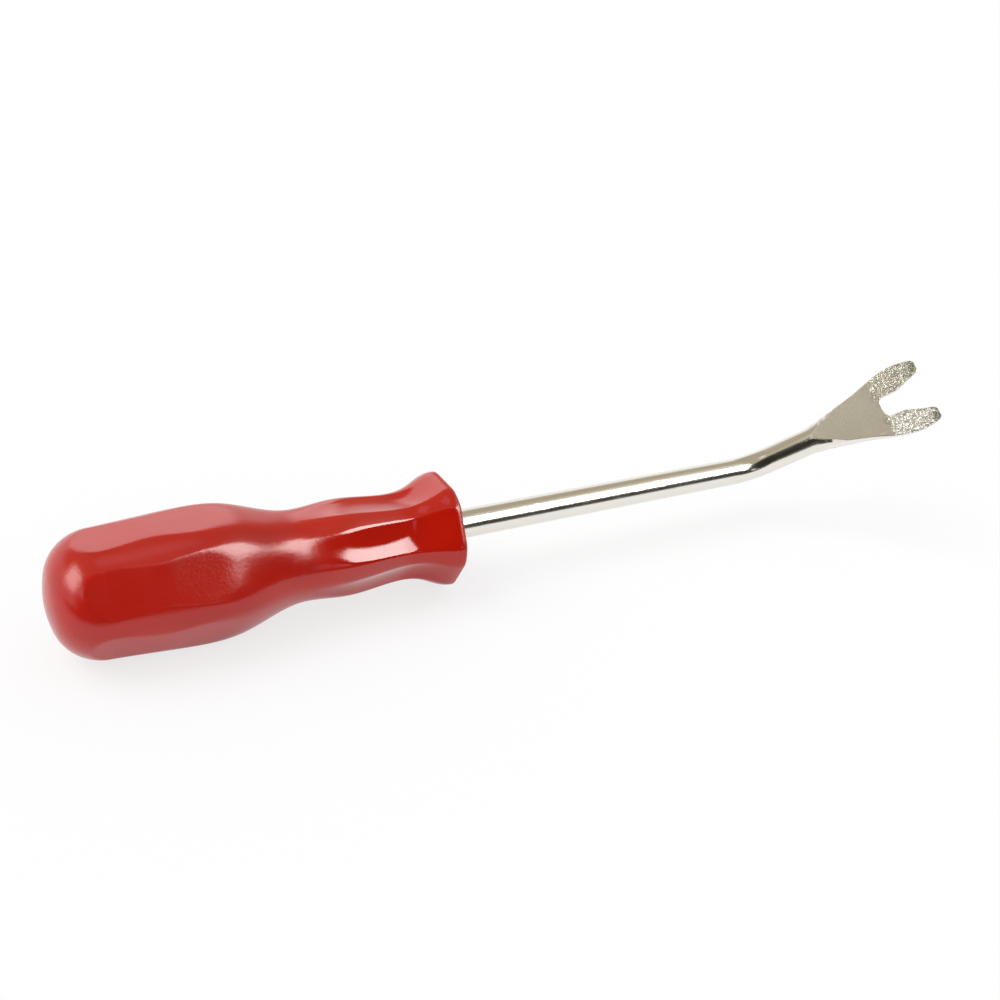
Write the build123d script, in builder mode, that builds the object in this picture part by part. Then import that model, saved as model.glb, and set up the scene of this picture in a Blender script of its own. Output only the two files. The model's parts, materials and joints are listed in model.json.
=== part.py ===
"""Door handle removal tool: a moulded six-flat handle on a bent, forged fork rod.

The tool lies on one of the handle's flats, as it comes to rest on a bench.
Row frame, millimetres: +X runs along the rod from the butt to the fork, +Z is up, and
the origin is the middle of the flat pad under the handle's belly.
"""
from math import cos, radians, sin, sqrt
import os

from build123d import *

# Round rod that becomes the tang, the shank and the fork
rod_d = 6.5
shank_length = 86.9        # from the handle's front face to the corner of the bend
bend_angle = 42.5
bend_radius = 15.5         # on the rod's centre line
bend_turn_from_flat = 24.0     # the bend leans this far past the normal of a flat
tang_chamfer = 1.0

# Two wings swaged out of the tang stop it turning or pulling out of the moulding
wing_start = 34.0          # from the handle's front face
wing_length = 14.0
wing_height = 1.35         # out from the rod
wing_thickness = 1.8

# Handle: the turned form's radius over its rounded lands, and the run to each place
belly_r = 13.7
butt_dome_r = 20.5         # the butt's middle is a shallow dome of this radius
butt_edge_r = 9.5          # round between the dome and the side
butt_side_drop = 1.0       # how much smaller the side is than the belly, where it starts
side_run = 15.9            # from there to the belly
hip_run = 9.3
hip_drop = 0.55            # below the belly
neck_run = 12.2
neck_r = 9.7
swell_run = 10.0
swell_r = 10.3
waist_run = 10.7
waist_r = 9.5
flare_run = 7.3
flare_r = 10.35
collar_run = 6.0
collar_drop = 1.15         # below the belly
collar_edge_r = 0.8        # round between the collar and the front face
butt_wall = 5.5            # solid moulding behind the end of the tang

# Six flats along the handle: half the angle that each one takes of the round
flat_count = 6
body_half_angle = 20.4
hip_half_angle = 17.5
neck_half_angle = 9.0
swell_half_angle = 18.0
waist_half_angle = 21.0
flare_half_angle = 20.5
collar_half_angle = 19.0
pad_length = 8.0           # truly flat stretch at the belly, which the tool lies on
flat_run_out_r = 12.0      # the flats run out over the butt's round along this arc

# Socket that the tang fills
tang_clearance = 0.03
tang_end_gap = 0.5

# Fork, along the rod from the corner of the bend
fan_start = 16.5           # end of the round rod
fan_length = 19.3          # spread from the round rod to the bottom of the slot
fan_power = 1.6            # the plan spreads with this power of the way along it
slot_depth = 11.5
fork_half_width = 7.9      # at the bottom of the slot
claw_bulge = 1.15          # the prongs grow by this at their widest
claw_share = 0.58          # where they are widest, as a share of the slot's depth
claw_hook = 0.9            # and turn in again by this at their tips
tip_corner_r = 0.9

# Slot between the prongs
slot_half = 2.7
slot_parallel = 3.7        # length of the straight sides at its bottom
slot_flare = 2.5           # how much further out each side is at the mouth
slot_bottom_bow = 0.35
slot_corner_r = 0.8

# Thickness of the blade: a spread bar, struck flat on both faces by a die
bar_spread = 0.35          # the bar is this share wider than the plan cut from it
bar_half = 2.8             # half thickness of the bar at the fork, before the die
die_lead_in = 2.0          # round rod beyond the fan's start that the die leaves alone
die_run = 2.0
die_step = 0.35            # depth of the flat where it starts
fork_half = 0.7            # half thickness at the bottom of the slot
tip_half_back = 0.65
tip_half_front = 0.35      # the prongs are ground thinner on the face that leads

# Places that follow from the sizes above
rod_r = rod_d / 2
flat_step = 360.0 / flat_count
butt_side_r = belly_r - butt_side_drop
hip_r = belly_r - hip_drop
collar_r = belly_r - collar_drop
butt_edge_y = butt_side_r - butt_edge_r
side_x = butt_dome_r - sqrt((butt_dome_r - butt_edge_r) ** 2 - butt_edge_y**2)
dome_share = butt_dome_r / (butt_dome_r - butt_edge_r)
dome_end = (butt_dome_r - dome_share * (butt_dome_r - side_x), dome_share * butt_edge_y)
belly_x = side_x + side_run
hip_x = belly_x + hip_run
neck_x = hip_x + neck_run
swell_x = neck_x + swell_run
waist_x = swell_x + waist_run
flare_x = waist_x + flare_run
collar_x = flare_x + collar_run
handle_length = collar_x + collar_edge_r

slot_bottom = fan_start + fan_length
blade_length = slot_bottom + slot_depth
claw_x = slot_bottom + claw_share * slot_depth
claw_half_width = fork_half_width + claw_bulge
tip_outer_half = claw_half_width - claw_hook
slot_mouth_half = slot_half + slot_flare
past_tip = blade_length + 1

axis_height = belly_r * cos(radians(body_half_angle))
front_x = handle_length - belly_x
vertex_x = front_x + shank_length
tang_x = butt_wall - belly_x
bend_elevation = flat_step / 2 + bend_turn_from_flat

axis_dir = Vector(1, 0, 0)
bend_dir = Vector(0, -cos(radians(bend_elevation)), sin(radians(bend_elevation)))
bend_normal = axis_dir.cross(bend_dir)
blade_dir = axis_dir * cos(radians(bend_angle)) + bend_dir * sin(radians(bend_angle))
blade_face = bend_dir * cos(radians(bend_angle)) - axis_dir * sin(radians(bend_angle))
butt_centre = Vector(-belly_x, 0, axis_height)
vertex = Vector(vertex_x, 0, axis_height)

bend_plane = Plane(origin=vertex, x_dir=axis_dir, z_dir=bend_normal)
blade_side_plane = Plane(origin=vertex, x_dir=blade_dir, z_dir=bend_normal)
blade_plan_plane = Plane(origin=vertex, x_dir=blade_dir, z_dir=blade_face)
rod_level = Plane.XY.offset(axis_height)


def handle_plane(turn):
    """Plane through the handle's axis, its origin at the butt, turned about the axis."""
    normal = Vector(0, -1, 0).rotate(Axis.X, turn)
    return Plane(origin=butt_centre, x_dir=axis_dir, z_dir=normal)


def cross_plane(x):
    """Plane square to the handle's axis, at a place along the row's X axis."""
    return Plane(origin=(x, 0, axis_height), x_dir=(0, 1, 0), z_dir=axis_dir)


def blade_section(distance):
    """Plane square to the blade, at a distance from the corner of the bend."""
    return Plane(origin=vertex + blade_dir * distance, x_dir=bend_normal, z_dir=blade_dir)


def flat_at(station, land_r, half_angle):
    """Point of a flat's profile: its station and its distance from the handle's axis."""
    return (station, land_r * cos(radians(half_angle)))


def fan_half(share):
    """Half width of the fan's plan at a share of its length."""
    return rod_r + (fork_half_width - rod_r) * share**fan_power


def along_blade(edge):
    """How far an edge's middle lies along the blade from the corner of the bend."""
    return (edge.center() - vertex).dot(blade_dir)


# Forged blade: a round bar spread into a fan, struck flat, then cut to the fork's plan
with BuildPart() as blade:
    for share in (0, 0.12, 0.3, 0.55, 0.8, 1.0):
        with BuildSketch(blade_section(fan_start + share * fan_length)):
            Ellipse(
                fan_half(share) * (1 + bar_spread * share),
                rod_r + (bar_half - rod_r) * share,
            )
    for distance in (claw_x, past_tip):
        with BuildSketch(blade_section(distance)):
            Ellipse(claw_half_width * (1 + bar_spread), bar_half)
    loft()

    die_x = fan_start + die_lead_in
    with BuildSketch(blade_side_plane):
        with BuildLine():
            Polyline(
                (fan_start, -rod_d),
                (fan_start, rod_d),
                (die_x, rod_r),
                (die_x + die_run, rod_r - die_step),
                (slot_bottom, fork_half),
                (past_tip, tip_half_front),
                (past_tip, -tip_half_back),
                (slot_bottom, -fork_half),
                (die_x + die_run, die_step - rod_r),
                (die_x, -rod_r),
                close=True,
            )
        make_face()
    extrude(amount=2 * claw_half_width, both=True, mode=Mode.INTERSECT)

    with BuildSketch(blade_plan_plane):
        with BuildLine():
            throat = (die_x, fan_half(die_lead_in / fan_length))
            Polyline((fan_start, 0), (fan_start, rod_d), throat)
            outer_side = Spline(
                throat,
                (fan_start + 0.55 * fan_length, fan_half(0.55)),
                (fan_start + 0.8 * fan_length, fan_half(0.8)),
                (slot_bottom, fork_half_width),
                (claw_x, claw_half_width),
                (blade_length, tip_outer_half),
                tangents=((1, 0.05), (1, -0.3)),
            )
            Line(outer_side @ 1, (blade_length, 0))
            mirror(about=Plane.XZ)
        make_face()
    extrude(amount=rod_d, both=True, mode=Mode.INTERSECT)

    with BuildSketch(blade_plan_plane):
        with BuildLine():
            slot_end = TangentArc(
                (slot_bottom, 0), (slot_bottom + slot_bottom_bow, slot_half), tangent=(0, 1)
            )
            straight = Line(slot_end @ 1, (slot_bottom + slot_parallel, slot_half))
            flare = Spline(
                straight @ 1,
                (slot_bottom + 0.7 * slot_depth, slot_half + slot_flare / 2),
                (blade_length, slot_mouth_half),
                tangents=((1, 0), (1, 0.45)),
            )
            Polyline(flare @ 1, (past_tip, slot_mouth_half), (past_tip, 0))
            mirror(about=Plane.XZ)
        make_face()
    extrude(amount=rod_d, both=True, mode=Mode.SUBTRACT)

    across_blade = blade.edges().filter_by(Axis(vertex, blade_face), tolerance=20)
    slot_corners = across_blade.filter_by(lambda e: abs(along_blade(e) - slot_bottom) < 1)
    fillet(slot_corners, radius=slot_corner_r)
    across_blade = blade.edges().filter_by(Axis(vertex, blade_face), tolerance=20)
    tip_corners = across_blade.filter_by(lambda e: along_blade(e) > blade_length - 1)
    prong_tip_width = tip_outer_half - slot_mouth_half
    fillet(tip_corners, radius=min(tip_corner_r, 0.4 * prong_tip_width))

# Shank: the whole steel rod, with its tang, its bend and the forged blade
with BuildPart() as shank:
    with BuildLine(bend_plane):
        rise = radians(bend_angle)
        rod_line = FilletPolyline(
            (tang_x - vertex_x, 0),
            (0, 0),
            (fan_start * cos(rise), fan_start * sin(rise)),
            radius=bend_radius,
        )
    with BuildSketch(cross_plane(tang_x)):
        Circle(rod_r)
    sweep(path=rod_line)
    chamfer(shank.edges().sort_by(Axis.X)[0], length=tang_chamfer)
    with BuildSketch(rod_level):
        with Locations((front_x - wing_start - wing_length / 2, 0)):
            Rectangle(wing_length, rod_d + 2 * wing_height)
    extrude(amount=wing_thickness / 2, both=True)
    add(blade.part)
shank.part.label = "shank"

# Handle: a turned moulding, cut back by three pairs of flats, over the tang
with BuildPart() as handle:
    with BuildSketch(handle_plane(0)):
        with BuildLine():
            dome = RadiusArc((0, 0), dome_end, butt_dome_r)
            butt_edge = RadiusArc(dome @ 1, (side_x, butt_side_r), butt_edge_r)
            land = Spline(
                butt_edge @ 1,
                (belly_x, belly_r),
                (hip_x, hip_r),
                (neck_x, neck_r),
                (swell_x, swell_r),
                (waist_x, waist_r),
                (flare_x, flare_r),
                (collar_x, collar_r),
                tangents=((1, 0.05), (1, 0)),
            )
            front_edge = RadiusArc(
                land @ 1, (handle_length, collar_r - collar_edge_r), collar_edge_r
            )
            Polyline(front_edge @ 1, (handle_length, 0), (0, 0))
        make_face()
    revolve(axis=Axis(butt_centre, axis_dir))

    side_flat = flat_at(side_x, butt_side_r, body_half_angle)
    collar_flat = flat_at(collar_x, collar_r, collar_half_angle)
    run_out = side_flat[1] - flat_run_out_r + sqrt(flat_run_out_r**2 - side_x**2)
    for turn in (0, flat_step, 2 * flat_step):
        with BuildSketch(handle_plane(turn)):
            with BuildLine():
                Line((0, 0), (0, run_out))
                RadiusArc((0, run_out), side_flat, flat_run_out_r)
                pad_start = (belly_x - pad_length / 2, axis_height)
                pad_end = (belly_x + pad_length / 2, axis_height)
                Spline(side_flat, pad_start, tangents=((1, 0.05), (1, 0)))
                Line(pad_start, pad_end)
                Spline(
                    pad_end,
                    flat_at(hip_x, hip_r, hip_half_angle),
                    flat_at(neck_x, neck_r, neck_half_angle),
                    flat_at(swell_x, swell_r, swell_half_angle),
                    flat_at(waist_x, waist_r, waist_half_angle),
                    flat_at(flare_x, flare_r, flare_half_angle),
                    collar_flat,
                    tangents=((1, 0), (1, 0)),
                )
                flat_edge = RadiusArc(
                    collar_flat,
                    (handle_length, collar_flat[1] - collar_edge_r),
                    collar_edge_r,
                )
                Line(flat_edge @ 1, (handle_length, 0))
                mirror(about=Plane.XZ)
            make_face()
        extrude(amount=2 * belly_r, both=True, mode=Mode.INTERSECT)

    socket_x = tang_x - tang_end_gap
    with BuildSketch(cross_plane(socket_x)):
        Circle(rod_r + tang_clearance)
    extrude(amount=front_x - socket_x, mode=Mode.SUBTRACT)
    with BuildSketch(rod_level):
        with Locations((front_x - wing_start - wing_length / 2, 0)):
            Rectangle(
                wing_length + 2 * tang_clearance,
                rod_d + 2 * wing_height + 2 * tang_clearance,
            )
    extrude(amount=wing_thickness / 2 + tang_clearance, both=True, mode=Mode.SUBTRACT)
handle.part.label = "handle"

os.makedirs("parts", exist_ok=True)
export_step(shank.part, "parts/shank.step")
export_step(handle.part, "parts/handle.step")
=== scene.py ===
"""Looks of the door handle removal tool, built round its fixed frame.

A glossy moulded handle with six flats holds a bright-plated rod, which is bent up near its
end and forged into a flat fork with two ground prongs. Metres; +X runs along the rod from
the butt to the fork, +Z is up, and the tool lies on one of the handle's flats.
"""
import json
from math import asin, atan2, cos, hypot, pi, radians, sin, sqrt, tan

import bmesh
import bpy
import numpy as np
from bpy.props import FloatProperty, FloatVectorProperty, IntProperty, PointerProperty
from mathutils import Matrix, Vector, noise


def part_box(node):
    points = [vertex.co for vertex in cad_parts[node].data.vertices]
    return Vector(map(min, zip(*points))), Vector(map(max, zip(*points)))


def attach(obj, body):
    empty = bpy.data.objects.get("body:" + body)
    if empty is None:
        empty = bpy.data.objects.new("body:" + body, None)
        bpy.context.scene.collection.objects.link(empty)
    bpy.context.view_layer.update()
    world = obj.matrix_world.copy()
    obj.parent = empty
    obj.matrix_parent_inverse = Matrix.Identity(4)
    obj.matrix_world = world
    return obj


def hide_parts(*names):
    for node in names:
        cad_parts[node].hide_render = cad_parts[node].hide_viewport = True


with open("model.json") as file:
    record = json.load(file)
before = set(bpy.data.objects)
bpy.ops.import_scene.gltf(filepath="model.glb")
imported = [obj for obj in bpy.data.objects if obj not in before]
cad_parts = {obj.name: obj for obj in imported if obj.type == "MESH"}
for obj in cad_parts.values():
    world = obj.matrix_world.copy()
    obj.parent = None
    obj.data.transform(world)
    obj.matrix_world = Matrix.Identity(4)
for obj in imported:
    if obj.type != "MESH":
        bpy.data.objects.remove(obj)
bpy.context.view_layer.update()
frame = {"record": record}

bl_info = {
    "name": "Door Handle Removal Tool",
    "version": (1, 0, 0),
    "blender": (4, 5, 0),
    "location": "View3D > Sidebar > Removal Tool",
    "description": "Builds a six-flat moulded handle, its forged fork shank and a pale studio",
    "category": "Add Mesh",
}

MM = 0.001
handle_low, handle_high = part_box("handle")
shank_low, shank_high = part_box("shank")
mounts = {mount["name"]: mount for mount in frame["record"]["mounts"]}
axis_z = mounts["shank_hold"]["pos_m"][2]
butt_x = handle_low.x
front_x = handle_high.x
tang_x = shank_low.x


def length(name, description, millimetres):
    """A size of the tool, as a user sets it."""
    return FloatProperty(
        name=name, description=description, default=millimetres * MM, min=0, unit="LENGTH"
    )


def turn(name, description, degrees):
    """An angle, as a user sets it."""
    return FloatProperty(
        name=name, description=description, default=radians(degrees), subtype="ANGLE"
    )


def colour(name, description, red, green, blue):
    """A linear colour, as a user sets it."""
    return FloatVectorProperty(
        name=name, description=description, default=(red, green, blue),
        subtype="COLOR", size=3, min=0, max=1,
    )


def share(name, description, value):
    """A number from nought to one."""
    return FloatProperty(
        name=name, description=description, default=value, min=0, max=1, subtype="FACTOR"
    )


class HandleSizes(bpy.types.PropertyGroup):
    """Sizes of the moulded handle."""

    belly_r: length("Belly radius", "Widest radius, over the rounded lands", 13.7)
    dome_r: length("Dome radius", "Radius of the shallow dome on the butt", 20.5)
    butt_edge_r: length("Butt edge", "Round between the dome and the side", 9.5)
    butt_side_drop: length("Butt drop", "How much smaller the side starts than the belly", 1.0)
    side_run: length("Side run", "From the butt's round to the belly", 15.9)
    hip_run: length("Hip run", "From the belly to the hip", 9.3)
    hip_drop: length("Hip drop", "How much smaller the hip is than the belly", 0.55)
    neck_run: length("Neck run", "From the hip to the neck", 12.2)
    neck_r: length("Neck radius", "Narrow place behind the swell", 9.7)
    swell_run: length("Swell run", "From the neck to the swell", 10.0)
    swell_r: length("Swell radius", "Slight swell under the fingers", 10.3)
    waist_run: length("Waist run", "From the swell to the waist", 10.7)
    waist_r: length("Waist radius", "Narrow place behind the collar", 9.5)
    flare_run: length("Flare run", "From the waist to the flare", 7.3)
    flare_r: length("Flare radius", "Half way up the flare", 10.35)
    collar_run: length("Collar run", "From the flare to the collar", 6.0)
    collar_drop: length("Collar drop", "How much smaller the collar is than the belly", 1.15)
    collar_edge_r: length("Collar edge", "Round between the collar and the front face", 0.8)
    pad: length("Pad length", "Truly flat stretch at the belly", 8.0)
    run_out_r: length("Run-out radius", "Arc along which the flats leave the butt", 80.0)
    body_turn: turn("Body flat", "Half angle that a flat takes of the body", 20.4)
    hip_turn: turn("Hip flat", "Half angle that a flat takes of the hip", 17.5)
    neck_turn: turn("Neck flat", "Half angle that a flat takes of the neck", 9.0)
    swell_turn: turn("Swell flat", "Half angle that a flat takes of the swell", 18.0)
    waist_turn: turn("Waist flat", "Half angle that a flat takes of the waist", 21.0)
    flare_turn: turn("Flare flat", "Half angle that a flat takes of the flare", 20.5)
    collar_turn: turn("Collar flat", "Half angle that a flat takes of the collar", 19.0)
    crest_soft: length("Crest softness", "Depth over which flats and lands blend", 0.18)
    hip_soft: length("Hip softness", "The same from the hip to the neck", 0.8)
    waist_soft: length("Waist softness", "The same at the waist", 0.22)
    collar_soft: length("Collar softness", "The same at the collar", 0.3)
    hollow: length("Hollow", "How far the flats are hollowed across at the waist", 0.42)
    bore_r: length("Bore radius", "Radius of the socket that the tang fills", 3.28)
    bore_gap: length("Bore gap", "Room past the end of the tang", 0.5)


class ShankSizes(bpy.types.PropertyGroup):
    """Sizes of the rod and its fork."""

    rod_r: length("Rod radius", "Radius of the round rod", 3.25)
    run: length("Shank run", "From the handle's front to the corner of the bend", 86.9)
    bend: turn("Bend", "Angle of the bend", 42.5)
    bend_r: length("Bend radius", "Radius of the bend on the rod's centre line", 15.5)
    bend_lean: turn("Bend lean", "Elevation of the bend's plane on the camera side", 54.0)
    tang_chamfer: length("Tang chamfer", "Chamfer at the hidden end of the rod", 1.0)
    fan_start: length("Fan start", "End of the round rod, from the corner of the bend", 16.5)
    fan_run: length("Fan run", "From there to the bottom of the slot", 19.3)
    fork_half: length("Fork half width", "At the bottom of the slot", 7.9)
    fan_power: FloatProperty(
        name="Fan power", description="Power with which the plan spreads", default=1.6, min=1, max=3
    )
    bar_spread: share("Bar spread", "How much wider the struck bar is than the plan", 0.9)
    bar_half: length("Bar half", "Half thickness of the bar at the fork", 2.8)
    die_lead: length("Die lead-in", "Round rod past the fan's start", 1.0)
    die_run: length("Die run", "Slope on which the struck face starts", 3.0)
    die_step: length("Die step", "Depth of the struck face where it starts", 0.5)
    slot_run: length("Slot depth", "From the bottom of the slot to the tips", 11.5)
    slot_half: length("Slot half width", "Over the straight part of the slot", 2.7)
    slot_straight: length("Slot straight", "Length of the straight part", 3.7)
    slot_flare: length("Slot flare", "How much wider each side is at the mouth", 2.5)
    slot_bow: length("Slot bow", "How much the bottom of the slot is hollowed", 0.35)
    slot_corner_r: length("Slot corner", "Round in the corners of the slot", 0.8)
    claw_bulge: length("Claw bulge", "How much wider the prongs get", 1.15)
    claw_share: share("Claw place", "Where they are widest along the slot", 0.58)
    claw_hook: length("Claw hook", "How far they turn in again at the tips", 0.9)
    tip_r: length("Tip round", "Round on the corners of the tips", 0.9)
    blade_half: length("Blade half", "Half thickness at the bottom of the slot", 0.7)
    tip_back: length("Tip back", "Half thickness of the tips, back face", 0.65)
    tip_front: length("Tip front", "Half thickness of the tips, ground face", 0.37)
    edge_r: length("Edge", "Worn round on the edges of the fork", 0.14)
    ragged: length("Ragged", "Depth of the burrs along the slot", 0.28)
    grind: length("Grind", "Depth of the grinding marks on the prongs", 0.06)
    seed: IntProperty(name="Seed", description="Changes the burrs and marks", default=4, min=0)


class Finishes(bpy.types.PropertyGroup):
    """Colours and gloss of the two pieces."""

    moulding: colour("Moulding", "Red of the handle", 0.45, 0.0090, 0.0024)
    moulding_deep: colour("Deep moulding", "Darker swirls in the red", 0.41, 0.0065, 0.0018)
    dust: colour("Dust", "Pale bloom of handling on the red", 0.50, 0.05, 0.035)
    plate: colour("Plate", "Bright plating of the rod", 0.83, 0.80, 0.74)
    struck: colour("Struck steel", "Satin plating on the fan", 0.81, 0.775, 0.69)
    ground: colour("Ground steel", "Rough plating on the prongs", 0.70, 0.685, 0.62)
    # Painted reflection: a near-white steel colour that brightens the lower prong, standing in for
    # what it reflects
    lower_prong_painted_reflection: colour("Lower prong painted reflection", "Bright faces of the lower prong", 0.98, 0.97, 0.93)
    burnt: colour("Burnt steel", "Darker, greener steel at the tips", 0.36, 0.37, 0.32)
    moulding_rough: share("Handle roughness", "Roughness of the moulding", 0.08)
    plate_rough: share("Plate roughness", "Roughness of the bright rod", 0.15)
    struck_rough: share("Fan roughness", "Roughness of the satin fan", 0.34)
    ground_rough: share("Prong roughness", "Roughness of the ground prongs", 0.30)


class StudioSettings(bpy.types.PropertyGroup):
    """Camera, softboxes, flags and floor."""

    camera_at: FloatVectorProperty(
        name="Camera", description="Place of the camera",
        default=(-42.19 * MM, -183.71 * MM, 135.20 * MM), subtype="TRANSLATION", unit="LENGTH",
    )
    camera_right: FloatVectorProperty(
        name="Camera right", description="Direction of the picture's right side",
        default=(0.87429, -0.47678, 0.09114), subtype="DIRECTION",
    )
    camera_up: FloatVectorProperty(
        name="Camera up", description="Direction of the picture's top",
        default=(0.16093, 0.46183, 0.87225), subtype="DIRECTION",
    )
    lens: FloatProperty(
        name="Lens", description="Focal length on a 36 mm wide frame", default=39.6,
        min=1, unit="CAMERA",
    )
    floor_size: FloatProperty(
        name="Floor", description="Width of the floor", default=8.0, min=0.5, unit="LENGTH"
    )
    floor_tone: colour("Floor tone", "Pale grey of the floor", 0.86, 0.86, 0.855)
    sky: FloatProperty(
        name="Sky", description="Level of the even light from all round", default=0.78, min=0
    )
    lamp_level: FloatProperty(
        name="Lamp", description="Level of the wide lamp overhead", default=1.5, min=0
    )
    lamp_spread: turn("Lamp spread", "How wide the lamp overhead looks", 50)


def smooth_line(points, start_slope, end_slope):
    """Function through points (x, y): a cubic of even bend, with these slopes at its ends."""
    x, y = (np.array(values, float) for values in zip(*points))
    gap = np.diff(x)
    rise = np.diff(y) / gap
    size = len(x)
    system = np.eye(size)
    known = np.zeros(size)
    known[0], known[-1] = start_slope, end_slope
    for i in range(1, size - 1):
        system[i, i - 1] = gap[i]
        system[i, i] = 2 * (gap[i - 1] + gap[i])
        system[i, i + 1] = gap[i - 1]
        known[i] = 3 * (gap[i] * rise[i - 1] + gap[i - 1] * rise[i])
    slope = np.linalg.solve(system, known)

    def value(at):
        i = min(max(int(np.searchsorted(x, at)) - 1, 0), size - 2)
        t = (at - x[i]) / gap[i]
        start = y[i] * (1 + 2 * t) + slope[i] * gap[i] * t
        end = y[i + 1] * (3 - 2 * t) + slope[i + 1] * gap[i] * (t - 1)
        return start * (1 - t) ** 2 + end * t**2

    return value


def ease(low, high, value):
    """Nought below low, one above high, and smooth between them."""
    t = min(max((value - low) / (high - low), 0), 1)
    return t * t * (3 - 2 * t)


def soft_min(a, b, blend):
    """The smaller of two numbers, rounded over where they are nearly equal."""
    overlap = max(blend - abs(a - b), 0) / blend
    return min(a, b) - overlap * overlap * blend / 4


def steps(start, end, count):
    """Evenly spaced numbers after start, up to end."""
    return [start + (end - start) * (i + 1) / count for i in range(count)]


def mesh_object(name, bm, material, node):
    """Links a finished bmesh as a smooth piece that stands for a CAD node."""
    mesh = bpy.data.meshes.new(name)
    bm.to_mesh(mesh)
    bm.free()
    mesh.shade_smooth()
    mesh.materials.append(material)
    piece = bpy.data.objects.new(name, mesh)
    bpy.context.scene.collection.objects.link(piece)
    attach(piece, "root")
    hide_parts(node)
    return piece


class HandleForm:
    """The handle's turned land and its flats, as distances from the axis by station."""

    SECTOR = radians(60)

    def __init__(self, s):
        side_r = s.belly_r - s.butt_side_drop
        hip_r = s.belly_r - s.hip_drop
        collar_r = s.belly_r - s.collar_drop
        self.s = s
        self.edge_y = side_r - s.butt_edge_r
        self.side_x = s.dome_r - sqrt((s.dome_r - s.butt_edge_r) ** 2 - self.edge_y**2)
        runs = (s.side_run, s.hip_run, s.neck_run, s.swell_run, s.waist_run, s.flare_run)
        stations = [self.side_x]
        for run in (*runs, s.collar_run):
            stations.append(stations[-1] + run)
        radii = (side_r, s.belly_r, hip_r, s.neck_r, s.swell_r, s.waist_r, s.flare_r, collar_r)
        turns = (
            s.body_turn, s.body_turn, s.hip_turn, s.neck_turn, s.swell_turn, s.waist_turn,
            s.flare_turn, s.collar_turn,
        )
        depths = [r * cos(turn) for r, turn in zip(radii, turns)]
        pad_r = depths[1]
        pad_start = stations[1] - s.pad / 2
        pad_end = stations[1] + s.pad / 2
        self.collar_x, self.collar_r, self.collar_depth = stations[-1], collar_r, depths[-1]
        self.pad = (pad_start, pad_end, pad_r)
        self.side_depth = depths[0]
        self.neck_x = stations[3]
        self.land_line = smooth_line(list(zip(stations, radii)), 0.05, 0)
        self.back_line = smooth_line([(self.side_x, depths[0]), (pad_start, pad_r)], 0.05, 0)
        front = [(pad_end, pad_r), *zip(stations[2:], depths[2:])]
        self.front_line = smooth_line(front, 0, 0)
        self.length = self.collar_x + s.collar_edge_r
        swell_soft = 0.45 * s.hip_soft
        soft = (s.crest_soft, s.hip_soft, s.hip_soft, swell_soft, s.waist_soft, s.collar_soft)
        places = (*stations[1:6], stations[7])
        self.soft_line = smooth_line(list(zip(places, soft)), 0, 0)
        hollow = (0, 0.7 * s.hollow, s.hollow, 0.7 * s.hollow, 0)
        self.hollow_line = smooth_line(list(zip(stations[3:8], hollow)), 0, 0)

    def depth(self, x):
        """Distance of a flat from the axis at a station."""
        s = self.s
        if x < self.side_x:
            reach = self.side_x - x
            return self.side_depth - s.run_out_r + sqrt(s.run_out_r**2 - reach**2)
        if x < self.pad[0]:
            return self.back_line(x)
        if x < self.pad[1]:
            return self.pad[2]
        if x < self.collar_x:
            return self.front_line(x)
        reach = min(x - self.collar_x, s.collar_edge_r)
        return self.collar_depth - s.collar_edge_r + sqrt(s.collar_edge_r**2 - reach**2)

    def outline(self):
        """Points (x, r) of the turned land, from the middle of the butt to the front face."""
        s = self.s
        centre = Vector((s.dome_r, 0))
        edge_centre = Vector((self.side_x, self.edge_y))
        lean = (edge_centre - centre).normalized()
        dome_turn = atan2(lean.y, -lean.x)
        points = [
            (s.dome_r * (1 - cos(a)), s.dome_r * sin(a)) for a in steps(0, dome_turn, 16)
        ]
        for a in steps(dome_turn, pi / 2, 56):
            points.append(
                (self.side_x - s.butt_edge_r * cos(a), self.edge_y + s.butt_edge_r * sin(a))
            )
        for x in steps(self.side_x, self.collar_x, 130):
            points.append((x, self.land_line(x)))
        face_r = self.collar_r - s.collar_edge_r
        for a in steps(0, pi / 2, 8):
            points.append(
                (self.collar_x + s.collar_edge_r * sin(a), face_r + s.collar_edge_r * cos(a))
            )
        return points

    def across(self, x, r, spun):
        """New angle and distance for a point of the turned form, spun to an angle."""
        s = self.s
        sector = round(spun / self.SECTOR)
        off = spun - sector * self.SECTOR
        land_r = self.land_line(min(max(x, self.side_x), self.collar_x))
        depth = self.depth(x)
        half = np.arccos(min(self.depth(max(x, self.side_x)) / land_r, cos(radians(6))))
        place = abs(off) / (self.SECTOR / 2)
        if place < FLAT_SHARE:
            new = half * (1 - (1 - place / FLAT_SHARE) ** 1.4)
        else:
            rest = (place - FLAT_SHARE) / (1 - FLAT_SHARE)
            new = half + (self.SECTOR / 2 - half) * rest**1.4
        hollow = self.hollow_line(min(x, self.collar_x)) if x > self.neck_x else 0
        depth -= hollow * (1 - min(tan(new) / tan(half), 1) ** 2)
        flat_r = depth / cos(new)
        soft = self.soft_line(min(max(x, self.pad[0] + s.pad / 2), self.collar_x))
        return sector * self.SECTOR + (new if off > 0 else -new), soft_min(r, flat_r, soft)


FLAT_SHARE = 10 / 18
SPIN_STEPS = 216


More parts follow.
